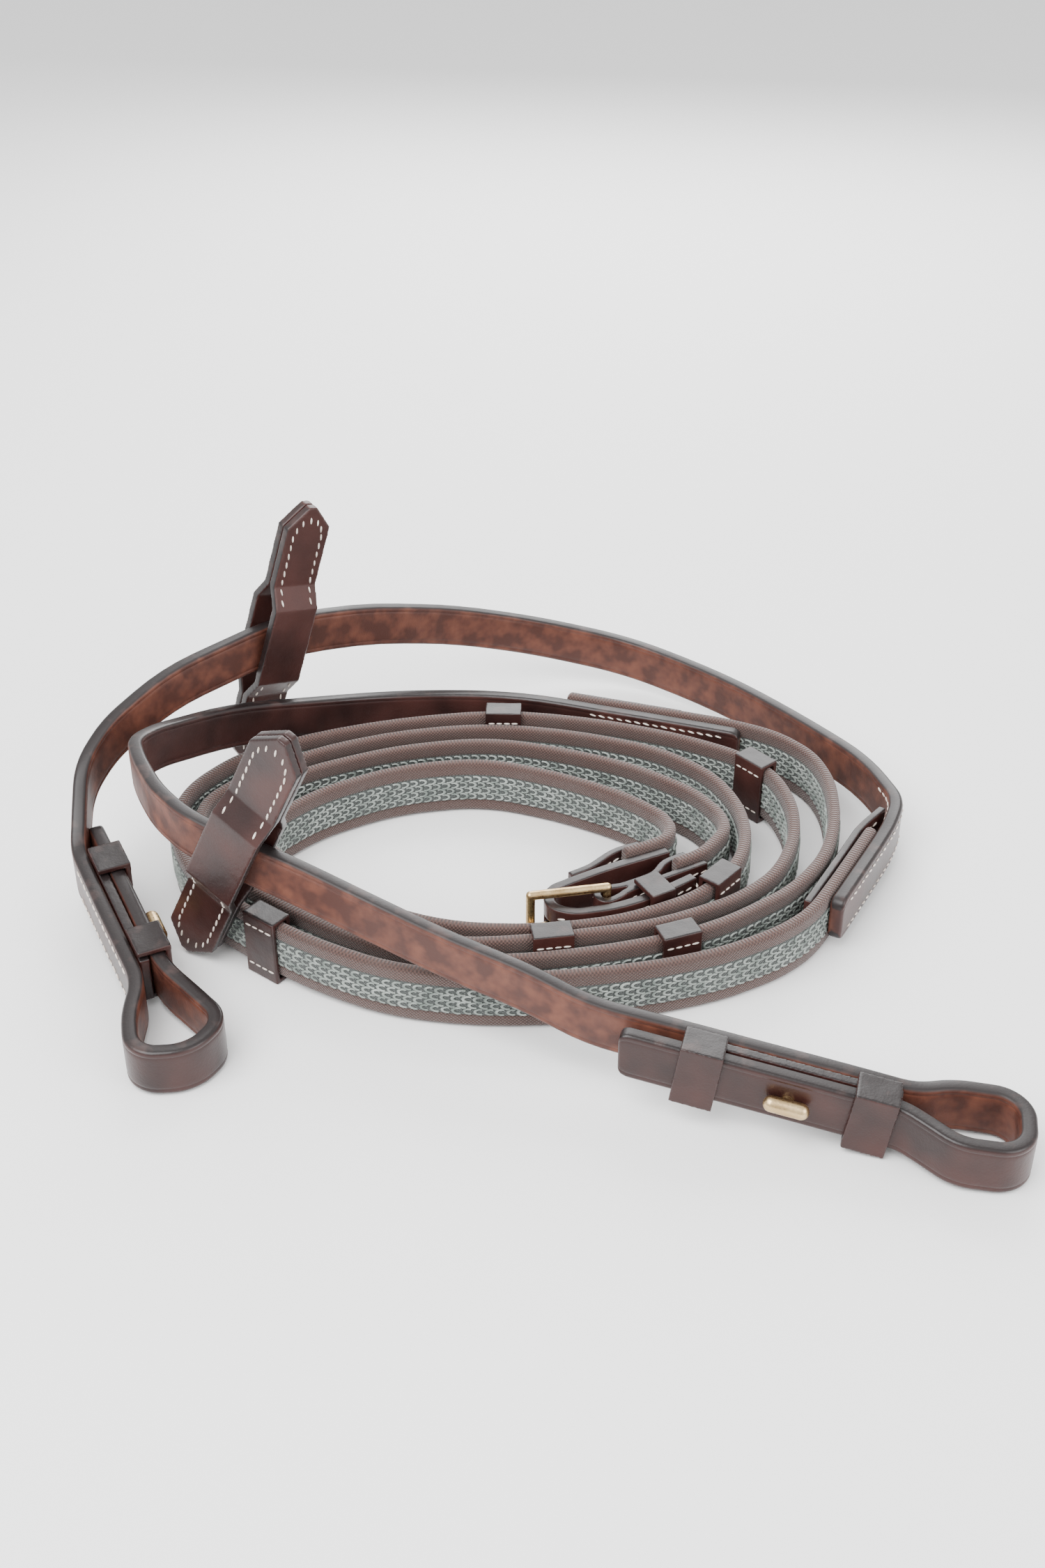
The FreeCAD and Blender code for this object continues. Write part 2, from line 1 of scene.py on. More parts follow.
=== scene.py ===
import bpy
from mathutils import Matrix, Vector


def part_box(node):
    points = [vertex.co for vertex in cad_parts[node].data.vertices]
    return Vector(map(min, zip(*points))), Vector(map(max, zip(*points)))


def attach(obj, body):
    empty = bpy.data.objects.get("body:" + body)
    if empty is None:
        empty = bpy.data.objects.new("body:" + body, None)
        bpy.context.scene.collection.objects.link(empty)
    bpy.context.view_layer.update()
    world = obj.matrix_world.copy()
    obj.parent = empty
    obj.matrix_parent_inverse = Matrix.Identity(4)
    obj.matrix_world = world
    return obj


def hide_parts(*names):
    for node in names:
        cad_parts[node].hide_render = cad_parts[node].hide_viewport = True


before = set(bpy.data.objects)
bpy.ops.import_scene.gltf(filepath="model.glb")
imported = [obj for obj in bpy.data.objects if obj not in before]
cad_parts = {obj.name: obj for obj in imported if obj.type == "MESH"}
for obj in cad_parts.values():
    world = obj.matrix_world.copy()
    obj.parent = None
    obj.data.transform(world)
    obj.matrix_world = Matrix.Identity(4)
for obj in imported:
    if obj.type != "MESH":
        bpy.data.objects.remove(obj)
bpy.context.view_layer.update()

import math

import bmesh
import bpy
import numpy as np
from mathutils import Matrix, Vector, noise
from mathutils.bvhtree import BVHTree

bl_info = {
    "name": "Leather reins",
    "version": (1, 0, 0),
    "blender": (4, 5, 0),
    "location": "View3D > Sidebar > Reins",
    "description": "Builds the looks of a coiled pair of leather and web reins round its packed frame",
    "category": "Object",
}

UP = Vector((0, 0, 1))
CENTRE_SHIFT = Vector((-0.0025, 0.0185, 0.0))
MM = 0.001
RUN_SHARE = 0.45  # part of the shorter run that a corner's arc takes
UV_NAME = "strap"
LEATHER_WIDTH = 16 * MM
LEATHER_THICK = 4.8 * MM
WEB_WIDTH = 20 * MM
WEB_THICK = 4 * MM
WAVER_SIDE = 0.12 * MM  # how far a strap strays sideways from its line
WAVER_UP = 0.16 * MM
STITCH_LIFT = 0.05 * MM  # how far the middle of a stitch stands off its surface
GRIP_LIFT = 0.12 * MM
GRIP_END = 12 * MM  # bare web at each end of the grip
STRAP_ROWS = (-5.4 * MM, 5.4 * MM)  # heights of the stitch rows from the strap's middle
LAP_ROWS = (-5.0 * MM, 5.0 * MM)
HAND_STOP_ROWS = (-7.6 * MM, 7.6 * MM)
STOP_ROW = 6 * MM
STOP_OPEN = 17.5 * MM  # half of a martingale stop's unstitched middle
STOP_ARCH = 42.5 * MM  # where the rows turn into the arch at a stop's tip
ARCH_RADIUS = 5.5 * MM
SPLICE_SEWN = {"a": 55 * MM, "b": 75 * MM}  # sewn part of the leather's end on the web

# --- Routes, in millimetres, before the shift to the middle of the footprint -----------------------

BILLET_OFFSET = 8.75
BILLET_A = ((82.3, -124.1, 14.5), (0.970, -0.244, 0), (-0.244, -0.970, 0), 0.13, 36, 9.8)
BILLET_B = ((-124.0, -61.0, 13.4), (0.450, -0.893, 0), (0.893, 0.450, 0), 0.11, 30, 10.1)
LOOP_A = [(32, 0.0), (39, 3.6), (48, 9.1), (67, 7.2), (65.5, -15.2), (45, -13.4), (35, -8.55)]
LOOP_B = [(24, 0.0), (40, 5.1), (54, 9.1), (62.5, -3.9), (56.5, -19.5), (41, -16.0), (28, -8.55)]
LINE_A = [
    (7, -101, 27), (-18, -90, 31), (-41, -79, 36), (-58, -71.3, 40.5), (-76, -64.2, 45),
    (-97, -54.8, 49.4), (-109, -41, 50.3), (-117.5, -23, 49.5), (-122, -8, 47), (-117, 4, 44), (-98, 36, 32),
    (-70, 61.5, 19.5), (-38, 77.5, 12.5), (2, 78, 11.9), (44, 64.5, 11.9), (84, 51, 11.9),
]
LINE_B = [
    (-140.5, -20, 25), (-141.5, -4, 35), (-135, 10, 42), (-118, 32, 49), (-81.5, 65.5, 51.5),
    (-53, 84, 46), (-20, 107, 33), (13, 118.5, 21), (46, 117, 13.5), (82, 93, 10.6),
    (108, 63, 10.4), (127.5, 35, 11), (134.4, 8, 12.2), (129.4, -6, 12.2), (120.4, -23, 12.2),
    (105, -50.4, 12.2),
]
WEB_A = [
    (22, 76.6, 10.4), (46, 69.0, 10.4), (82, 57.3, 10.4), (97, 49.5, 10.4), (108.5, 36, 10.4),
    (112.5, 20, 10.4), (111.5, -2, 10.4), (105, -25, 10.4), (92, -43, 10.4), (70, -60.5, 11.5),
    (53, -69, 12), (30, -75, 11.5), (2, -78.5, 10.4), (-26, -77, 10.4), (-52, -65.5, 10.4),
    (-78, -46, 10.4), (-96, -27, 10.4), (-104.5, -9, 10.4), (-104, 7, 10.4), (-93, 21, 10.4),
    (-70, 38, 10.4), (-40, 50, 10.4), (-8, 55, 10.4), (24, 50, 10.4), (53, 39.5, 10.4),
    (71, 24, 10.4), (79, 6, 10.4), (80, -14, 11.5), (75.5, -31, 12), (62, -47, 11.5),
    (36, -59, 10.4), (8, -63.5, 10.4), (-20, -61.5, 10.4), (-46, -50, 10.4), (-68, -33, 10.4),
    (-82, -16, 10.4), (-80, -3, 10.4), (-66, 12, 10.4), (-40, 27, 10.4), (-8, 32, 10.4),
    (20, 22, 10.4), (42, 9, 10.4), (53, -3, 11), (54.8, -11.5, 12), (52.8, -17.3, 12.3),
    (47.4, -20.8, 12.3), (38.3, -25.15, 12.3),
]
WEB_B = [
    (122.5, -9.5, 10.4), (116.1, -20.9, 10.4), (106.5, -37.9, 10.4), (97, -54, 10.4), (86, -64, 10.4),
    (68, -74, 10.4), (44, -81.5, 10.4), (16, -86, 10.4), (-12, -86.5, 10.4), (-38.5, -81.5, 10.8),
    (-61, -71, 12), (-79, -58, 12), (-97, -41.5, 11), (-108, -23, 10.4), (-113.5, -2, 10.4),
    (-110, 16, 10.4), (-96, 35, 10.4), (-68, 50, 10.4), (-34, 59, 11), (0, 61.5, 12),
    (32, 56.5, 11.5), (62, 46, 11.5), (82, 34, 12), (93, 21, 12), (97.5, 3, 11.5),
    (96, -15, 10.4), (88, -34, 10.4), (74, -47.5, 10.4), (48, -61.5, 11), (12, -69.8, 12),
    (-14, -71.5, 11.5), (-40, -65.5, 10.4), (-66, -48, 10.4), (-86, -27, 10.4), (-94.5, -8, 10.4),
    (-91, 9, 10.4), (-72, 26, 10.4), (-40, 40, 10.4), (-8, 45.5, 10.4), (20, 38.5, 10.4),
    (44, 28.5, 10.4), (65, 12, 10.4), (72.5, -2, 11), (73, -12, 12), (64.6, -25.2, 12.3),
    (54.6, -30.95, 12.3),
]


def billet_point(billet, along, out):
    """Point of a billet's frame: along runs to the loop, out to the flesh side."""
    stud, run, side, rise, floor_along, loop_height = billet
    place = Vector(stud) + Vector(run).normalized() * along + Vector(side).normalized() * out
    level = stud[2] - rise * along if along < floor_along else loop_height - 0.05 * (along - floor_along)
    return (place.x, place.y, level)


def billet_route(billet, loop, tail):
    """From the billet's tip past the stud, round the bit loop and back past the stud."""
    points = [billet_point(billet, tail, BILLET_OFFSET), billet_point(billet, -8, BILLET_OFFSET + 0.1)]
    points += [billet_point(billet, along, BILLET_OFFSET + out) for along, out in loop]
    return points + [billet_point(billet, 0, -0.1), billet_point(billet, -36, 0)]


ROUTE_A = billet_route(BILLET_A, LOOP_A, -49) + [billet_point(BILLET_A, -60, 0.3)] + LINE_A
ROUTE_B = billet_route(BILLET_B, LOOP_B, -46) + LINE_B


class Route:
    """A strap's middle line as evenly spaced points, with its level side direction at each."""

    def __init__(self, points, step=1.3 * MM):
        corners = [Vector(p) * MM + CENTRE_SHIFT for p in points]
        line = [corners[0]]
        for before, corner, after in zip(corners, corners[1:], corners[2:]):
            line += corner_arc(before, corner, after)
        line.append(corners[-1])
        line = np.array(line)
        far = np.concatenate([[0], np.cumsum(np.linalg.norm(np.diff(line, axis=0), axis=1))])
        self.length = far[-1]
        self.far = np.linspace(0, self.length, int(self.length / step) + 1)
        self.place = np.stack([np.interp(self.far, far, line[:, axis]) for axis in range(3)], 1)
        run = np.gradient(self.place, axis=0)
        self.run = run / np.linalg.norm(run, axis=1)[:, None]
        side = np.cross([0, 0, 1], self.run)
        self.side = side / np.linalg.norm(side, axis=1)[:, None]

    def at(self, distance):
        """Place, run and side at a distance along the route."""
        found = []
        for rows in (self.place, self.run, self.side):
            found.append(Vector([np.interp(distance, self.far, rows[:, axis]) for axis in range(3)]))
        return found

    def nearest(self, place):
        """Distance along the route of its point nearest to a plan position."""
        gap = np.linalg.norm(self.place[:, :2] - np.array(place[:2]), axis=1)
        return self.far[int(gap.argmin())]


def corner_arc(before, corner, after):
    """Points of the arc that rounds a corner, from tangent point to tangent point."""
    back = (before - corner).normalized()
    ahead = (after - corner).normalized()
    turn = math.pi - back.angle(ahead)
    if turn < 0.01:
        return [corner]
    reach = RUN_SHARE * min((before - corner).length, (after - corner).length)
    radius = reach / math.tan(turn / 2)
    centre = corner + (back + ahead).normalized() * (radius / math.cos(turn / 2))
    first = corner + back * reach - centre
    axis = first.cross(corner + ahead * reach - centre).normalized()
    count = max(3, int(turn / 0.06))
    return [centre + Matrix.Rotation(turn * i / count, 3, axis) @ first for i in range(count + 1)]


# --- Meshes ----------------------------------------------------------------------------------------

def section(width, thick, corner, crease_inset, crease_depth):
    """Closed outline of a strap as (side, up, edge share), with a crease line along both faces' borders."""
    half_width, half_thick = width / 2, thick / 2
    outline = []
    heights = list(np.linspace(-half_width + corner, half_width - corner, 17))
    for sign in (-1, 1):
        heights += [sign * (half_width - crease_inset + shift) for shift in (-0.25 * MM, 0, 0.25 * MM)]
    heights.sort()
    arc = np.linspace(0, math.pi / 2, 5)
    for face in (1, -1):
        for height in heights:
            up = height * face
            groove = crease_depth * math.exp(-(((abs(up) - half_width + crease_inset) / (0.28 * MM)) ** 2))
            outline.append((face * (half_thick - groove), up, 0.0))
        for angle in arc[1:]:
            up = (half_width - corner + corner * math.sin(angle)) * face
            outline.append((face * (half_thick - corner + corner * math.cos(angle)), up, math.sin(angle)))
        for angle in arc[::-1][:-1]:
            up = (half_width - corner + corner * math.sin(angle)) * face
            outline.append((-face * (half_thick - corner + corner * math.cos(angle)), up, math.sin(angle)))
    return outline


def end_scale(distance, corner, half):
    """Share of the half size left at a distance from a rounded end."""
    if distance >= corner:
        return 1.0
    return 1.0 - (corner - math.sqrt(max(0.0, corner ** 2 - (corner - distance) ** 2))) / half


def strap_mesh(name, route, width, thick, outline, tip_corner, flesh):
    """Upright strap along a route, closed and rounded at both ends, with its UV map in metres."""
    mesh = bmesh.new()
    uv = mesh.loops.layers.uv.new(UV_NAME)
    edge_layer = mesh.verts.layers.float.new("edge")
    flesh_layer = mesh.verts.layers.float.new("flesh")
    extra = [0.0, 0.12 * MM, 0.4 * MM, 0.8 * MM]
    stations = sorted(set(list(route.far) + extra + [route.length - x for x in extra]))
    rings = []
    for distance in stations:
        place, _, side = route.at(distance)
        reach = min(distance, route.length - distance)
        across = end_scale(reach, tip_corner, width / 2)
        through = end_scale(reach, 0.9 * MM, thick / 2 + 0.2 * MM)
        waver = Vector((distance * 38, 0, len(name)))
        place = place + side * noise.noise(waver) * WAVER_SIDE
        place = place + UP * noise.noise(waver * 0.7 + UP * 5) * WAVER_UP
        ring = []
        for s, u, edge in outline:
            vert = mesh.verts.new(place + side * s * through + UP * u * across)
            vert[edge_layer] = edge
            vert[flesh_layer] = 1.0 if s * flesh > 0 else 0.0
            ring.append((vert, u * across + width / 2))
        rings.append((distance, ring))
    count = len(outline)
    for (far_0, first), (far_1, second) in zip(rings, rings[1:]):
        for i in range(count):
            j = (i + 1) % count
            corners = [(first[i], far_0), (first[j], far_0), (second[j], far_1), (second[i], far_1)]
            face = mesh.faces.new([v for (v, _), _ in corners])
            face.smooth = True
            for loop, ((_, height), far) in zip(face.loops, corners):
                loop[uv].uv = (far, height)
    for (far, ring), turn in ((rings[0], -1), (rings[-1], 1)):
        face = mesh.faces.new([v for v, _ in ring[::turn]])
        for loop, (_, height) in zip(face.loops, ring[::turn]):
            loop[uv].uv = (far, height)
    bmesh.ops.recalc_face_normals(mesh, faces=mesh.faces)
    data = bpy.data.meshes.new(name)
    mesh.to_mesh(data)
    mesh.free()
    return data


def add_object(name, data, body, material, replaced=()):
    """Puts a finished mesh into the scene and fixes it to its CAD body."""
    item = bpy.data.objects.new(name, data)
    bpy.context.scene.collection.objects.link(item)
    data.materials.clear()
    data.materials.append(material)
    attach(item, body)
    if replaced:
        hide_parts(*replaced)
    return item


def skin_mesh(node, name, voxel, rounds, up=UP):
    """A CAD piece's shape with softly rounded edges and a little unevenness, as a plain mesh."""
    source = bmesh.new()
    source.from_mesh(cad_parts[node].data)
    bmesh.ops.remove_doubles(source, verts=source.verts, dist=1e-6)
    data = bpy.data.meshes.new(name + "_start")
    source.to_mesh(data)
    source.free()
    item = bpy.data.objects.new(name + "_start", data)
    bpy.context.scene.collection.objects.link(item)
    remesh = item.modifiers.new("Remesh", "REMESH")
    remesh.mode = "VOXEL"
    remesh.voxel_size = voxel
    smooth = item.modifiers.new("Smooth", "SMOOTH")
    smooth.factor = 0.5
    smooth.iterations = rounds
    graph = bpy.context.evaluated_depsgraph_get()
    made = bpy.data.meshes.new_from_object(item.evaluated_get(graph))
    made.name = name
    bpy.data.objects.remove(item)
    bpy.data.meshes.remove(data)
    count = len(made.vertices)
    places = np.zeros(count * 3)
    made.vertices.foreach_get("co", places)
    normals = np.zeros(count * 3)
    made.vertices.foreach_get("normal", normals)
    places, normals = places.reshape(-1, 3), normals.reshape(-1, 3)
    bumps = np.array([noise.noise(Vector(p) * 260) for p in places])
    made.vertices.foreach_set("co", (places + normals * bumps[:, None] * 0.05 * MM).ravel())
    facing = np.clip((np.abs(normals @ np.array(up)) - 0.45) / 0.4, 0, 1)
    for label, values in (("edge", facing), ("flesh", np.zeros(count))):
        made.attributes.new(label, "FLOAT", "POINT").data.foreach_set("value", values.astype(np.float32))
    made.polygons.foreach_set("use_smooth", [True] * len(made.polygons))
    return made


# --- Geometry Nodes: what repeats ------------------------------------------------------------------

def node_input(group, label, kind, value):
    """Adds a named input to a group and returns its identifier."""
    socket = group.interface.new_socket(label, in_out="INPUT", socket_type=kind)
    if value is not None:
        socket.default_value = value
    return socket.identifier


def repeat_group(label, build_shape, sizes):
    """Geometry Nodes group that puts one small shape on every point, turned by the point's own rotation."""
    group = bpy.data.node_groups.new(label, "GeometryNodeTree")
    ids = {"Geometry": node_input(group, "Geometry", "NodeSocketGeometry", None)}
    for name, value in sizes.items():
        ids[name] = node_input(group, name, "NodeSocketFloat", value)
    ids["Seed"] = node_input(group, "Seed", "NodeSocketInt", 7)
    ids["Material"] = node_input(group, "Material", "NodeSocketMaterial", None)
    group.interface.new_socket("Geometry", in_out="OUTPUT", socket_type="NodeSocketGeometry")
    nodes, links = group.nodes, group.links
    given = nodes.new("NodeGroupInput")
    result = nodes.new("NodeGroupOutput")
    turn = nodes.new("GeometryNodeInputNamedAttribute")
    turn.data_type = "QUATERNION"
    turn.inputs["Name"].default_value = "turn"
    spread = nodes.new("FunctionNodeRandomValue")
    spread.data_type = "FLOAT"
    spread.inputs[2].default_value = 0.92
    spread.inputs[3].default_value = 1.08
    links.new(given.outputs["Seed"], spread.inputs["Seed"])
    copies = nodes.new("GeometryNodeInstanceOnPoints")
    links.new(given.outputs["Geometry"], copies.inputs["Points"])
    links.new(build_shape(nodes, links, given), copies.inputs["Instance"])
    links.new(turn.outputs["Attribute"], copies.inputs["Rotation"])
    links.new(spread.outputs[1], copies.inputs["Scale"])
    real = nodes.new("GeometryNodeRealizeInstances")
    links.new(copies.outputs["Instances"], real.inputs["Geometry"])
    paint = nodes.new("GeometryNodeSetMaterial")
    links.new(real.outputs["Geometry"], paint.inputs["Geometry"])
    links.new(given.outputs["Material"], paint.inputs["Material"])
    links.new(paint.outputs["Geometry"], result.inputs["Geometry"])
    for number, node in enumerate(nodes):
        node.location = (220 * (number % 6), -260 * (number // 6))
    return group, ids


def stitch_shape(nodes, links, given):
    """A short thread with tapering ends."""
    ball = nodes.new("GeometryNodeMeshUVSphere")
    ball.inputs["Segments"].default_value = 8
    ball.inputs["Rings"].default_value = 7
    ball.inputs["Radius"].default_value = 1.0
    size = nodes.new("ShaderNodeCombineXYZ")
    links.new(given.outputs["Half length"], size.inputs["X"])
    links.new(given.outputs["Thread radius"], size.inputs["Y"])
    links.new(given.outputs["Thread radius"], size.inputs["Z"])
    stretch = nodes.new("GeometryNodeTransform")
    links.new(ball.outputs["Mesh"], stretch.inputs["Geometry"])
    links.new(size.outputs["Vector"], stretch.inputs["Scale"])
    return stretch.outputs["Geometry"]


def loop_shape(nodes, links, given):
    """A U of raised yarn."""
    arc = nodes.new("GeometryNodeCurveArc")
    arc.inputs["Resolution"].default_value = 9
    arc.inputs["Start Angle"].default_value = -2.0
    arc.inputs["Sweep Angle"].default_value = 4.0
    links.new(given.outputs["Loop radius"], arc.inputs["Radius"])
    yarn = nodes.new("GeometryNodeCurvePrimitiveCircle")
    yarn.inputs["Resolution"].default_value = 5
    links.new(given.outputs["Yarn radius"], yarn.inputs["Radius"])
    tube = nodes.new("GeometryNodeCurveToMesh")
    tube.inputs["Fill Caps"].default_value = True
    links.new(arc.outputs["Curve"], tube.inputs["Curve"])
    links.new(yarn.outputs["Curve"], tube.inputs["Profile Curve"])
    stretch = nodes.new("GeometryNodeTransform")
    stretch.inputs["Scale"].default_value = (1.45, 0.92, 1.0)
    links.new(tube.outputs["Mesh"], stretch.inputs["Geometry"])
    return stretch.outputs["Geometry"]


def repeated(name, spots, group, ids, values, material):
    """Plain mesh of a repeat group's shape on each (place, x axis, z axis)."""
    data = bpy.data.meshes.new(name + "_points")
    data.from_pydata([place for place, _, _ in spots], [], [])
    turns = []
    for _, along, normal in spots:
        z = normal.normalized()
        y = z.cross(along).normalized()
        turn = Matrix((y.cross(z), y, z)).transposed().to_quaternion()
        turns += [turn.w, turn.x, turn.y, turn.z]
    data.attributes.new("turn", "QUATERNION", "POINT").data.foreach_set("value", turns)
    item = bpy.data.objects.new(name + "_points", data)
    bpy.context.scene.collection.objects.link(item)
    modifier = item.modifiers.new("Repeat", "NODES")
    modifier.node_group = group
    for label, value in values.items():
        modifier[ids[label]] = value
    modifier[ids["Material"]] = material
    graph = bpy.context.evaluated_depsgraph_get()
    made = bpy.data.meshes.new_from_object(item.evaluated_get(graph))
    bpy.data.objects.remove(item)
    made.name = name
    made.polygons.foreach_set("use_smooth", [True] * len(made.polygons))
    return made


# --- Materials -------------------------------------------------------------------------------------

class Painter:
    """Short forms for building one material's nodes."""

    def __init__(self, name):
        self.material = bpy.data.materials.new(name)
        self.material.use_nodes = True
        self.nodes = self.material.node_tree.nodes
        self.links = self.material.node_tree.links
        self.shader = self.nodes["Principled BSDF"]

    def put(self, kind, inputs=None, **settings):
        node = self.nodes.new(kind)
        for key, value in settings.items():
            setattr(node, key, value)
        for key, value in (inputs or {}).items():
            self.feed(node, key, value)
        return node

    def feed(self, node, key, value):
        if isinstance(value, bpy.types.NodeSocket):
            self.links.new(value, node.inputs[key])
        else:
            node.inputs[key].default_value = value

    def noise(self, where, scale, detail=4.0):
        node = self.put("ShaderNodeTexNoise", {"Vector": where, "Scale": scale, "Detail": detail})
        return node.outputs["Fac"]

    def attribute(self, name):
        return self.put("ShaderNodeAttribute", attribute_name=name).outputs["Fac"]

    def levels(self, value, low, high, to_low=0.0, to_high=1.0):
        inputs = {"Value": value, "From Min": low, "From Max": high, "To Min": to_low, "To Max": to_high}
        return self.put("ShaderNodeMapRange", inputs).outputs["Result"]

    def math(self, operation, first, second):
        node = self.put("ShaderNodeMath", {0: first, 1: second}, operation=operation)
        return node.outputs[0]

    def mix(self, share, first, second):
        node = self.put("ShaderNodeMix", {0: share, 6: first, 7: second}, data_type="RGBA")
        return node.outputs[2]

    def bump(self, height, strength, distance):
        inputs = {"Height": height, "Strength": strength, "Distance": distance}
        return self.put("ShaderNodeBump", inputs).outputs["Normal"]


def grain_group():
    """Shared leather relief: pores, fine wrinkles and cloudy wear, from object coordinates."""
    group = bpy.data.node_groups.new("Leather relief", "ShaderNodeTree")
    group.interface.new_socket("Scale", in_out="INPUT", socket_type="NodeSocketFloat").default_value = 1.0
    for name in ("Height", "Cloud", "Wear"):
        group.interface.new_socket(name, in_out="OUTPUT", socket_type="NodeSocketFloat")
    nodes, links = group.nodes, group.links
    given, result = nodes.new("NodeGroupInput"), nodes.new("NodeGroupOutput")
    where = nodes.new("ShaderNodeTexCoord")
    sized = nodes.new("ShaderNodeVectorMath")
    sized.operation = "SCALE"
    links.new(where.outputs["Object"], sized.inputs[0])
    links.new(given.outputs["Scale"], sized.inputs["Scale"])
    parts = {}
    for name, kind, scale in (
        ("pores", "ShaderNodeTexVoronoi", 1500.0), ("wrinkles", "ShaderNodeTexNoise", 700.0),
        ("cloud", "ShaderNodeTexNoise", 42.0), ("wear", "ShaderNodeTexNoise", 160.0),
    ):
        node = nodes.new(kind)
        node.inputs["Scale"].default_value = scale
        links.new(sized.outputs["Vector"], node.inputs["Vector"])
        parts[name] = node.outputs["Distance" if name == "pores" else "Fac"]
    height = nodes.new("ShaderNodeMath")
    height.operation = "MULTIPLY_ADD"
    height.inputs[1].default_value = 0.55
    links.new(parts["pores"], height.inputs[0])
    links.new(parts["wrinkles"], height.inputs[2])
    links.new(height.outputs[0], result.inputs["Height"])
    links.new(parts["cloud"], result.inputs["Cloud"])
    links.new(parts["wear"], result.inputs["Wear"])
    return group


def leather_material(relief):
    """Mahogany bridle leather: glossy grain, dull red-brown flesh side, dark burnished edges."""
    paint = Painter("bridle_leather")
    detail = paint.put("ShaderNodeGroup")
    detail.node_tree = relief
    edge, flesh = paint.attribute("edge"), paint.attribute("flesh")
    cloud = paint.levels(detail.outputs["Cloud"], 0.35, 0.68)
    grain = paint.mix(cloud, (0.018, 0.0068, 0.0062, 1), (0.056, 0.018, 0.0145, 1))
    fibres = paint.levels(detail.outputs["Wear"], 0.4, 0.7)
    back = paint.mix(fibres, (0.058, 0.0185, 0.0125, 1), (0.135, 0.045, 0.027, 1))
    colour = paint.mix(flesh, grain, back)
    worn = paint.levels(detail.outputs["Wear"], 0.56, 0.72, 0.0, 0.35)
    rim = paint.mix(worn, (0.012, 0.0082, 0.0082, 1), (0.09, 0.052, 0.046, 1))
    colour = paint.mix(paint.levels(edge, 0.35, 0.8), colour, rim)
    paint.feed(paint.shader, "Base Color", colour)
    rough = paint.levels(detail.outputs["Cloud"], 0.3, 0.7, 0.30, 0.44)
    rough = paint.math("ADD", rough, paint.math("MULTIPLY", flesh, 0.2))
    paint.feed(paint.shader, "Roughness", rough)
    paint.feed(paint.shader, "Coat Weight", 0.12)
    paint.feed(paint.shader, "Coat Roughness", 0.22)
    paint.feed(paint.shader, "Specular IOR Level", 0.34)
    paint.feed(paint.shader, "Normal", paint.bump(detail.outputs["Height"], 0.35, 0.00012))
    return paint.material


def web_material():
    """Woven brown web with a grey-green rubbery band down the middle."""
    paint = Painter("grip_web")
    place = paint.put("ShaderNodeUVMap", uv_map=UV_NAME).outputs["UV"]
    split = paint.put("ShaderNodeSeparateXYZ", {"Vector": place})
    along, height = split.outputs["X"], split.outputs["Y"]
    off = paint.math("ABSOLUTE", paint.math("SUBTRACT", height, 0.010), 0.0)
    band = paint.levels(off, 0.0050, 0.0054, 1.0, 0.0)
    rim = paint.levels(paint.attribute("edge"), 0.0, 0.2)
    band = paint.math("MULTIPLY", band, paint.math("SUBTRACT", 1.0, rim))
    ribs = paint.math("SINE", paint.math("MULTIPLY", along, 2 * math.pi / 0.0012), 0.0)
    rows = paint.math("SINE", paint.math("MULTIPLY", height, 2 * math.pi / 0.0011), 0.0)
    weave = paint.math("MULTIPLY", ribs, rows)
    object_place = paint.put("ShaderNodeTexCoord").outputs["Object"]
    fuzz = paint.noise(object_place, 1300.0)
    cloud = paint.noise(object_place, 90.0)
    brown = paint.mix(paint.levels(weave, -1, 1), (0.024, 0.0105, 0.009, 1), (0.105, 0.05, 0.038, 1))
    brown = paint.mix(paint.levels(cloud, 0.4, 0.7, 0.0, 0.4), brown, (0.07, 0.048, 0.042, 1))
    grey = paint.mix(fuzz, (0.028, 0.033, 0.032, 1), (0.075, 0.085, 0.08, 1))
    paint.feed(paint.shader, "Base Color", paint.mix(band, brown, grey))
    paint.feed(paint.shader, "Roughness", paint.levels(fuzz, 0.3, 0.7, 0.68, 0.85))
    paint.feed(paint.shader, "Sheen Weight", 0.25)
    relief = paint.math("ADD", paint.math("MULTIPLY", weave, 0.8), fuzz)
    paint.feed(paint.shader, "Normal", paint.bump(relief, 0.9, 0.00022))
    return paint.material


def simple_material(name, dark, light, scale, rough, relief, metal=0.0):
    """A material whose colour and roughness vary with noise in object coordinates."""
    paint = Painter(name)
    place = paint.put("ShaderNodeTexCoord").outputs["Object"]
    cloud, fine = paint.noise(place, scale), paint.noise(place, scale * 9, 6.0)
    paint.feed(paint.shader, "Base Color", paint.mix(paint.levels(cloud, 0.35, 0.68), dark, light))
    paint.feed(paint.shader, "Roughness", paint.levels(fine, 0.3, 0.7, rough[0], rough[1]))
    paint.feed(paint.shader, "Metallic", metal)
    paint.feed(paint.shader, "Normal", paint.bump(fine, relief, 0.0001))
    return paint.material


class Kit:
    """The node groups and materials that the operators share."""

    made = None

    def __init__(self):
        self.stitch = repeat_group("Stitches", stitch_shape, {"Half length": 0.0013, "Thread radius": 0.0004})
        self.grip = repeat_group("Grip loops", loop_shape, {"Loop radius": 0.0012, "Yarn radius": 0.0004})
        self.leather = leather_material(grain_group())
        self.web = web_material()
        self.thread = simple_material(
            "waxed_thread", (0.5, 0.42, 0.36, 1), (0.83, 0.77, 0.7, 1), 500.0, (0.6, 0.8), 0.6)
        self.grip_yarn = simple_material(
            "grip_yarn", (0.15, 0.175, 0.16, 1), (0.34, 0.37, 0.345, 1), 240.0, (0.6, 0.85), 0.7)
        self.brass = simple_material(
            "satin_brass", (0.46, 0.31, 0.15, 1), (0.66, 0.49, 0.27, 1), 160.0, (0.24, 0.42), 0.25, 1.0)

    @classmethod
    def get(cls):
        if cls.made is None:
            cls.made = cls()
        return cls.made


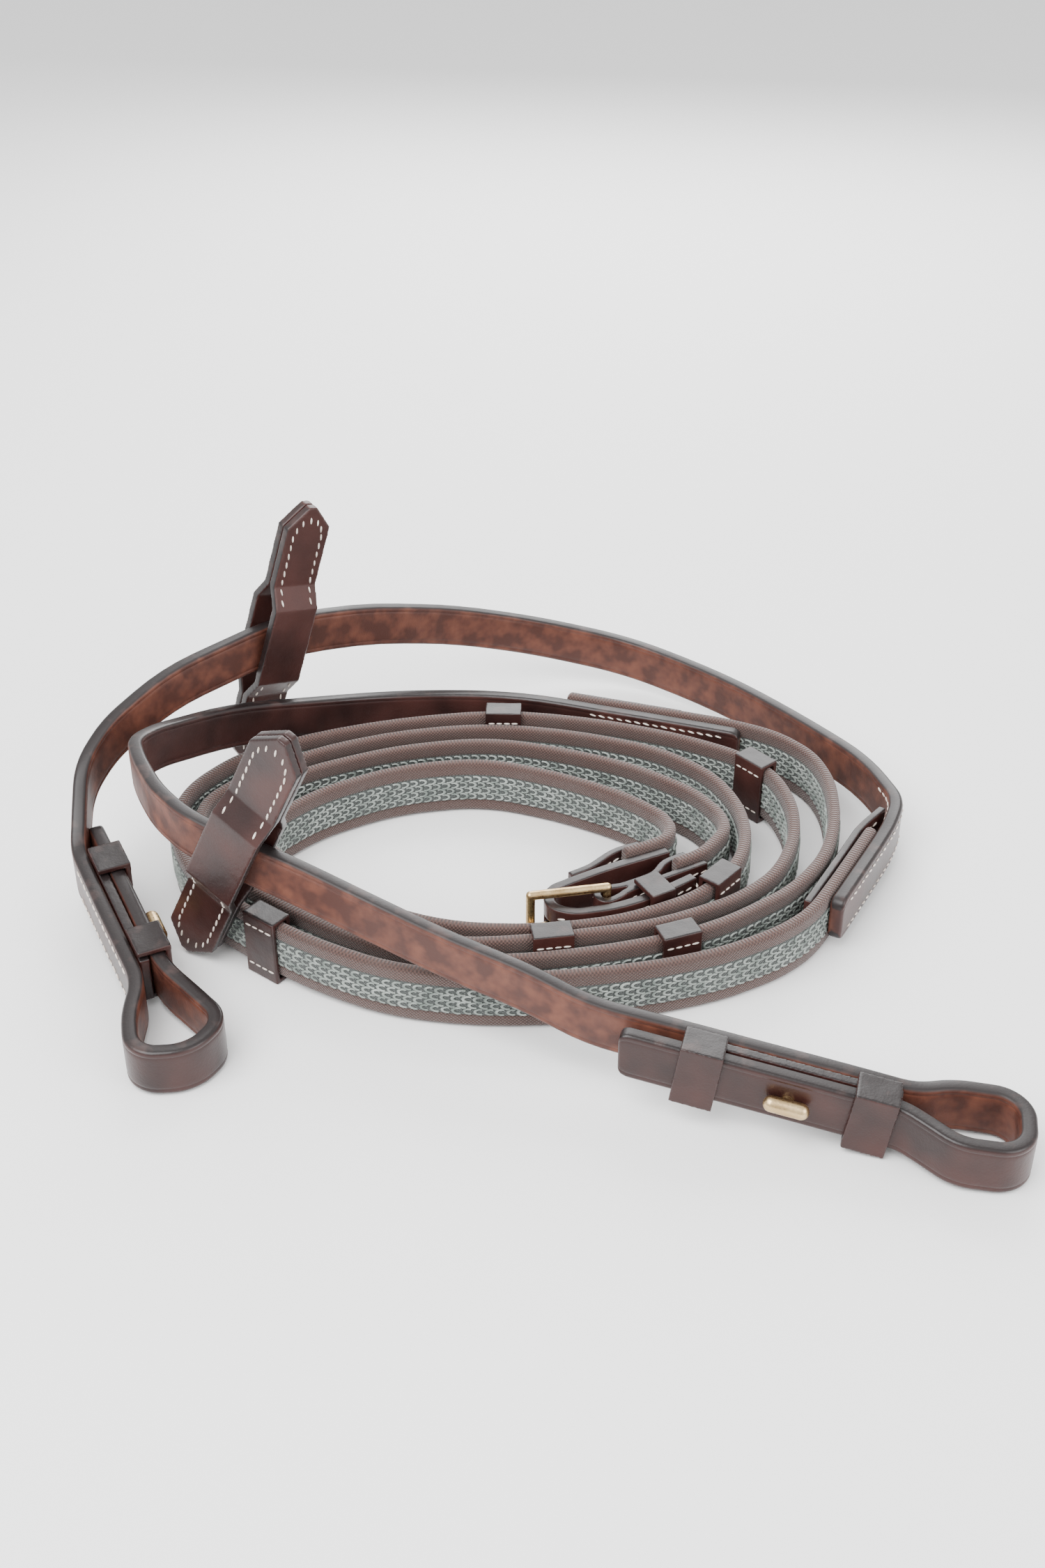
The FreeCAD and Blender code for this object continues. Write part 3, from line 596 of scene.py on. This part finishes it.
def add_stitches(name, spots, body, settings, big=1.0):
    """One piece of slanted stitches at the given spots."""
    kit = Kit.get()
    values = {
        "Half length": settings.half_length * big,
        "Thread radius": settings.radius * big,
        "Seed": settings.seed,
    }
    data = repeated(name, spots, *kit.stitch, values, kit.thread)
    return add_object(name, data, body, kit.thread)


def row_spots(route, start, end, pitch, side_offset, up_offset, slant=0.22):
    """Stitch spots along one face of a strap: side_offset's sign picks the face."""
    spots = []
    face = 1 if side_offset > 0 else -1
    for distance in np.arange(start, end, pitch):
        place, run, side = route.at(distance)
        along = run + UP * slant * face
        spots.append((place + side * side_offset + UP * up_offset, along, side * face))
    return spots


def cast_spots(tree, spots, slant=0.2):
    """Stitch spots moved along their cast direction onto a surface: each is (place, direction, run)."""
    landed = []
    for place, direction, run in spots:
        hit, normal, _, _ = tree.ray_cast(place, direction)
        if hit is None:
            continue
        if normal.dot(direction) > 0:
            normal = -normal
        flat = (run - normal * run.dot(normal)).normalized()
        landed.append((hit + normal * STITCH_LIFT, flat + normal.cross(flat) * slant, normal))
    return landed


def tree_of(data):
    """A mesh's surface, ready for casting rays on."""
    return BVHTree.FromPolygons([v.co for v in data.vertices], [p.vertices for p in data.polygons])


# --- Settings --------------------------------------------------------------------------------------

class ReinsStrapSettings(bpy.types.PropertyGroup):
    crease_depth: bpy.props.FloatProperty(
        name="Crease depth", description="Depth of the line pressed along the borders",
        default=0.16 * MM, unit="LENGTH")
    crease_inset: bpy.props.FloatProperty(
        name="Crease inset", description="Distance of the pressed line from the strap's edge",
        default=2.0 * MM, unit="LENGTH")
    edge_radius: bpy.props.FloatProperty(
        name="Edge radius", description="Rounding of the burnished edges", default=1.25 * MM, unit="LENGTH")
    voxel: bpy.props.FloatProperty(
        name="Detail size", description="Grid size of the small pieces' skins",
        default=0.4 * MM, unit="LENGTH")


class ReinsStitchSettings(bpy.types.PropertyGroup):
    pitch: bpy.props.FloatProperty(
        name="Pitch", description="Distance between stitches", default=3.4 * MM, unit="LENGTH")
    half_length: bpy.props.FloatProperty(
        name="Half length", description="Half of a stitch's length", default=1.3 * MM, unit="LENGTH")
    radius: bpy.props.FloatProperty(
        name="Thread radius", description="Radius of the sewing thread", default=0.34 * MM, unit="LENGTH")
    seed: bpy.props.IntProperty(name="Seed", description="Seed of the stitches' unevenness", default=7)


class ReinsGripSettings(bpy.types.PropertyGroup):
    pitch: bpy.props.FloatProperty(
        name="Loop pitch", description="Distance between raised loops", default=3.3 * MM, unit="LENGTH")
    radius: bpy.props.FloatProperty(
        name="Loop radius", description="Radius of a raised loop", default=1.15 * MM, unit="LENGTH")
    yarn: bpy.props.FloatProperty(
        name="Yarn radius", description="Radius of the grip's yarn", default=0.36 * MM, unit="LENGTH")
    seed: bpy.props.IntProperty(name="Seed", description="Seed of the loops' unevenness", default=11)


class ReinsStageSettings(bpy.types.PropertyGroup):
    key_power: bpy.props.FloatProperty(
        name="Key light", description="Strength of the large soft light", default=13.0, unit="POWER")
    rim_power: bpy.props.FloatProperty(
        name="Rim light", description="Strength of the light behind", default=10.0, unit="POWER")


# --- Operators -------------------------------------------------------------------------------------

class REINS_OT_leather(bpy.types.Operator):
    """Build the two long leather straps with their bit loops and stitching"""

    bl_idname = "reins.leather"
    bl_label = "Leather straps"

    def execute(self, context):
        strap, stitch = context.scene.reins_strap, context.scene.reins_stitch
        width, thick = LEATHER_WIDTH, LEATHER_THICK
        outline = section(width, thick, strap.edge_radius, strap.crease_inset, strap.crease_depth)
        for rein, points, flesh in (("a", ROUTE_A, 1), ("b", ROUTE_B, -1)):
            route = Route(points)
            name = "rein_%s_leather_skin" % rein
            data = strap_mesh(name, route, width, thick, outline, 3.0 * MM, flesh)
            add_object(name, data, "reins", Kit.get().leather, ["rein_%s_leather" % rein])
            billet = BILLET_A if rein == "a" else BILLET_B
            spots = []
            ends = [Vector(billet_point(billet, along, 0)) * MM + CENTRE_SHIFT for along in (20, -30)]
            start, end = self.chape_run(route, ends)
            lift = thick / 2 + STITCH_LIFT
            for height in STRAP_ROWS:
                spots += row_spots(route, start, end, stitch.pitch, -flesh * lift, height)
            splice, last = route.length - SPLICE_SEWN[rein], route.length - 4 * MM
            for height in STRAP_ROWS:
                for face in (1, -1):
                    spots += row_spots(route, splice, last, stitch.pitch, face * lift, height)
            add_stitches("rein_%s_leather_stitches" % rein, spots, "reins", stitch)
        return {"FINISHED"}

    @staticmethod
    def chape_run(route, ends):
        """Where the sewn part beside the stud starts and ends, on the run after the loop."""
        later = route.far > 0.15
        found = []
        for place in ends:
            gap = np.linalg.norm(route.place - np.array(place), axis=1)
            gap[~later] = 1.0
            found.append(route.far[int(gap.argmin())])
        return found


class REINS_OT_webs(bpy.types.Operator):
    """Build the two woven webs with their raised grip loops"""

    bl_idname = "reins.webs"
    bl_label = "Grip webs"

    def execute(self, context):
        grip = context.scene.reins_grip
        kit = Kit.get()
        width, thick = WEB_WIDTH, WEB_THICK
        outline = section(width, thick, 1.6 * MM, 4.9 * MM, 0.2 * MM)
        for rein, points in (("a", WEB_A), ("b", WEB_B)):
            route = Route(points)
            name = "rein_%s_web_skin" % rein
            data = strap_mesh(name, route, width, thick, outline, 1.5 * MM, 0)
            add_object(name, data, "reins", kit.web, ["rein_%s_web" % rein])
            for face in (1, -1):
                spots = []
                for row, height in enumerate((-3.6, -1.2, 1.2, 3.6)):
                    shift = grip.pitch / 2 if row % 2 else 0
                    spots += row_spots(route, GRIP_END + shift, route.length - GRIP_END, grip.pitch,
                                       face * (thick / 2 + GRIP_LIFT), height * MM, 0.0)
                label = "rein_%s_grip_%s" % (rein, "left" if face > 0 else "right")
                values = {"Loop radius": grip.radius, "Yarn radius": grip.yarn, "Seed": grip.seed}
                made = repeated(label, spots, *kit.grip, values, kit.grip_yarn)
                add_object(label, made, "reins", kit.grip_yarn)
        return {"FINISHED"}


class REINS_OT_stops(bpy.types.Operator):
    """Build the two sliding martingale stops with their stitching"""

    bl_idname = "reins.stops"
    bl_label = "Martingale stops"

    def execute(self, context):
        strap, stitch = context.scene.reins_strap, context.scene.reins_stitch
        for rein in ("a", "b"):
            middle, run, across, side = self.frame_of("rein_%s_stop_" % rein)
            for layer in ("near", "far"):
                node = "rein_%s_stop_%s_layer" % (rein, layer)
                data = skin_mesh(node, node + "_skin", strap.voxel, 8, across)
                add_object(node + "_skin", data, "stop_" + rein, Kit.get().leather, [node])
                tree = tree_of(data)
                own = np.mean([v.co for v in data.vertices], axis=0)
                facing = 1 if (Vector(own) - middle).dot(side) > 0 else -1
                spots = []
                for along, height in self.rows(stitch.pitch):
                    place = middle + run * along + across * height + side * facing * 20 * MM
                    spots.append((place, -side * facing, run))
                add_stitches(node + "_stitches", cast_spots(tree, spots), "stop_" + rein, stitch)
        return {"FINISHED"}

    @staticmethod
    def frame_of(start):
        """Middle, long axis, short axis and facing of a stop, from the shapes of its two layers."""
        layers = [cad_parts[start + layer + "_layer"].data for layer in ("near", "far")]
        places = np.array([v.co for layer in layers for v in layer.vertices])
        middle = places.mean(0)
        axes = np.linalg.svd(places - middle, full_matrices=False)[2]
        reach = (places - middle) @ axes.T
        middle = middle + axes.T @ ((reach.min(0) + reach.max(0)) / 2)
        return (Vector(middle),) + tuple(Vector(axis) for axis in axes)

    @staticmethod
    def rows(pitch):
        """Two rows on each wing that meet in an arch at its tip."""
        places = []
        for wing in (1, -1):
            for along in np.arange(STOP_OPEN, STOP_ARCH - 0.5 * MM, pitch):
                places += [(wing * along, STOP_ROW), (wing * along, -STOP_ROW)]
            for angle in np.linspace(1.2, -1.2, 5):
                along = wing * (STOP_ARCH + ARCH_RADIUS * math.cos(angle))
                places.append((along, ARCH_RADIUS * math.sin(angle)))
        return places


class REINS_OT_fittings(bpy.types.Operator):
    """Build the chapes, keepers, laps and hand stops"""

    bl_idname = "reins.fittings"
    bl_label = "Fittings"

    def execute(self, context):
        strap, stitch = context.scene.reins_strap, context.scene.reins_stitch
        kit = Kit.get()
        nodes = [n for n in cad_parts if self.is_fitting(n)]
        for node in sorted(nodes):
            data = skin_mesh(node, node + "_skin", strap.voxel * 0.85, 4)
            add_object(node + "_skin", data, "reins", kit.leather, [node])
            if "hand_stop" in node:
                self.sew_hand_stop(node, data, stitch)
            if "backing" in node or "centre_billet" in node or "centre_chape" in node:
                self.sew_lap(node, data, stitch)
        return {"FINISHED"}

    @staticmethod
    def is_fitting(node):
        """True for the leather pieces that are neither a strap nor a stop."""
        return any(part in node for part in ("chape", "keeper", "backing", "hand_stop", "centre_billet"))

    @staticmethod
    def sew_hand_stop(node, data, stitch):
        """Short rows near the top and bottom of a hand stop's two faces."""
        low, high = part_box(node)
        middle = (low + high) / 2
        route = Route(WEB_A if "rein_a" in node else WEB_B)
        _, run, side = route.at(route.nearest(middle))
        tree = tree_of(data)
        spots = []
        for face in (1, -1):
            for height in HAND_STOP_ROWS:
                for along in (-4.2, -1.4, 1.4, 4.2):
                    place = middle + run * along * MM + UP * height + side * face * 12 * MM
                    spots.append((place, -side * face, run))
        add_stitches(node + "_stitches", cast_spots(tree, spots, 0.0), "reins", stitch, 0.9)

    @staticmethod
    def sew_lap(node, data, stitch):
        """Two rows along a lap, cast on it from both sides of its own middle line."""
        low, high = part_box(node)
        middle = (low + high) / 2
        length = max(high.x - low.x, high.y - low.y)
        places = np.array([v.co for v in data.vertices])
        flat = places[:, :2] - places[:, :2].mean(0)
        axis = np.linalg.svd(flat[::7], full_matrices=False)[2][0]
        run = Vector((axis[0], axis[1], 0)).normalized()
        side = UP.cross(run)
        tree = tree_of(data)
        spots = []
        for face in (1, -1):
            for height in LAP_ROWS:
                for along in np.arange(-0.5 * length, 0.5 * length, stitch.pitch):
                    place = middle + run * along + UP * height + side * face * 25 * MM
                    spots.append((place, -side * face, run))
        add_stitches(node + "_stitches", cast_spots(tree, spots), "reins", stitch)


class REINS_OT_hardware(bpy.types.Operator):
    """Build the brass studs and the centre buckle"""

    bl_idname = "reins.hardware"
    bl_label = "Brass hardware"

    def execute(self, context):
        pieces = {"rein_a_hook_stud": "reins", "rein_b_hook_stud": "reins",
                  "buckle_frame": "frame", "buckle_prong": "prong"}
        for node, body in pieces.items():
            data = skin_mesh(node, node + "_skin", 0.2 * MM, 3)
            add_object(node + "_skin", data, body, Kit.get().brass, [node])
        return {"FINISHED"}


class REINS_OT_stage(bpy.types.Operator):
    """Build the floor, the lights and the photo's camera"""

    bl_idname = "reins.stage"
    bl_label = "Floor, lights and camera"

    def execute(self, context):
        scene, settings = context.scene, context.scene.reins_stage
        half = 6.0
        data = bpy.data.meshes.new("floor")
        corners = [(-half, -half, 0), (half, -half, 0), (half, half, 0), (-half, half, 0)]
        data.from_pydata(corners, [], [(0, 1, 2, 3)])
        floor = bpy.data.objects.new("floor", data)
        scene.collection.objects.link(floor)
        paint = Painter("pale_floor")
        paint.feed(paint.shader, "Base Color", (0.93, 0.93, 0.93, 1))
        paint.feed(paint.shader, "Roughness", 0.9)
        data.materials.append(paint.material)
        for name, place, size, power in (
            ("key_light", (-0.35, -0.35, 0.75), 0.7, settings.key_power),
            ("fill_light", (0.7, -0.5, 0.5), 0.6, settings.key_power * 0.45),
            ("rim_light", (0.1, 0.75, 0.55), 0.7, settings.rim_power),
        ):
            lamp = bpy.data.lights.new(name, "AREA")
            lamp.energy = power
            lamp.size = size
            item = bpy.data.objects.new(name, lamp)
            item.location = place
            item.rotation_euler = (Vector((0, 0, 0.02)) - Vector(place)).to_track_quat("-Z", "Y").to_euler()
            scene.collection.objects.link(item)
        world = bpy.data.worlds.new("soft_white")
        world.use_nodes = True
        world.node_tree.nodes["Background"].inputs["Color"].default_value = (1, 1, 1, 1)
        world.node_tree.nodes["Background"].inputs["Strength"].default_value = 1.25
        scene.world = world
        lens = bpy.data.cameras.new("photo_camera")
        lens.sensor_fit = "HORIZONTAL"
        lens.sensor_width = 24
        lens.lens = 42.56
        lens.clip_start = 0.01
        camera = bpy.data.objects.new("photo_camera", lens)
        camera.location = (0.0025, -0.4992, 0.3803)
        camera.rotation_euler = (math.radians(56), 0, 0)
        scene.collection.objects.link(camera)
        scene.camera = camera
        return {"FINISHED"}


class REINS_PT_panel(bpy.types.Panel):
    """Sidebar panel with a button for each operator and its settings"""

    bl_idname = "REINS_PT_panel"
    bl_label = "Leather reins"
    bl_space_type = "VIEW_3D"
    bl_region_type = "UI"
    bl_category = "Reins"

    def draw(self, context):
        for operator in OPERATORS:
            self.layout.operator(operator.bl_idname)
        for label in SETTINGS:
            group = getattr(context.scene, label)
            for name in group.__annotations__:
                self.layout.prop(group, name)


OPERATORS = (
    REINS_OT_leather, REINS_OT_webs, REINS_OT_stops, REINS_OT_fittings, REINS_OT_hardware, REINS_OT_stage,
)
SETTINGS = {
    "reins_strap": ReinsStrapSettings,
    "reins_stitch": ReinsStitchSettings,
    "reins_grip": ReinsGripSettings,
    "reins_stage": ReinsStageSettings,
}


def register():
    for label, group in SETTINGS.items():
        bpy.utils.register_class(group)
        setattr(bpy.types.Scene, label, bpy.props.PointerProperty(type=group))
    for item in OPERATORS + (REINS_PT_panel,):
        bpy.utils.register_class(item)


def unregister():
    for item in (REINS_PT_panel,) + OPERATORS[::-1]:
        bpy.utils.unregister_class(item)
    for label, group in SETTINGS.items():
        delattr(bpy.types.Scene, label)
        bpy.utils.unregister_class(group)


def main():
    register()
    for call in (bpy.ops.reins.leather, bpy.ops.reins.webs, bpy.ops.reins.stops,
                 bpy.ops.reins.fittings, bpy.ops.reins.hardware, bpy.ops.reins.stage):
        if call() != {"FINISHED"}:
            raise RuntimeError("an operator didn't finish")


if __name__ == "__main__":
    main()
